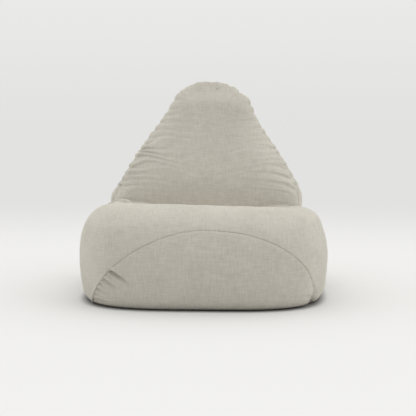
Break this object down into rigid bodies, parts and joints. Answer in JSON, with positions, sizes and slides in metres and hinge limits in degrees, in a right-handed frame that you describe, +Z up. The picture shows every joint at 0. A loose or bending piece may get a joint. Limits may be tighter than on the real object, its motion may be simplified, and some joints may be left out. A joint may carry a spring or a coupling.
{
  "type": "bean bag chair",
  "caption": "Low, wide bean bag chair with a tapering back, an arched front panel and a zipped, removable woven cover over an inner bag of foam beads.",
  "frame": {"origin": "on the floor, under the middle of the bag's outer box", "axes": "+X to the right of someone looking at the front, +Y towards the back, +Z up; the sitter faces -Y"},
  "size_m": [0.972, 0.954, 0.848],
  "materials": {
    "cover_cloth": "matte plain-weave linen and cotton cloth, warm greige, with slubs",
    "zip_tape": "woven polyester zip tape, greige",
    "zip_coil": "greige nylon coil",
    "zip_metal": "satin nickel-plated zinc",
    "label_tape": "plain white satin label tape, no print",
    "liner_cloth": "off-white fine plain-weave lining cloth",
    "liner_tape": "off-white woven zip tape",
    "liner_coil": "off-white nylon coil and end clips",
    "liner_slider": "plain cast slider with no pull",
    "beads": "white expanded polystyrene beads, 3 to 5 mm"
  },
  "bodies": {
    "bag": {"front_panel": "cover_cloth", "seat_panel": "cover_cloth", "backrest_panel": "cover_cloth", "rear_left_panel": "cover_cloth", "rear_right_panel": "cover_cloth", "base_panel": "cover_cloth", "zip_tape_left": "zip_tape", "zip_tape_right": "zip_tape", "zip_coil_left": "zip_coil", "zip_coil_right": "zip_coil", "zip_bottom_stop": "zip_metal", "zip_top_stop": "zip_metal", "care_label": "label_tape", "liner_bag": "liner_cloth", "liner_zip_tape_left": "liner_tape", "liner_zip_tape_right": "liner_tape", "liner_zip_coil_left": "liner_coil", "liner_zip_coil_right": "liner_coil", "liner_zip_bottom_stop": "liner_coil", "liner_zip_top_stop": "liner_coil", "bead_fill": "beads"},
    "zip_slider": {"zip_slider": "zip_metal"},
    "zip_pull": {"zip_pull_tab": "zip_metal"},
    "liner_slider": {"liner_zip_slider": "liner_slider"}
  },
  "joints": [
    {"name": "zip_slide", "type": "slide", "parent": "bag", "child": "zip_slider", "axis": [0, 0, 1], "range_m": [0, 0.455]},
    {"name": "zip_pull_swing", "type": "hinge", "parent": "zip_slider", "child": "zip_pull", "pos_m": [0, 0.475, 0.1441], "axis": [1, 0, 0], "range_deg": [0, 170]},
    {"name": "liner_zip_slide", "type": "slide", "parent": "bag", "child": "liner_slider", "axis": [0, 0, 1], "range_m": [0, 0.385]}
  ]
}
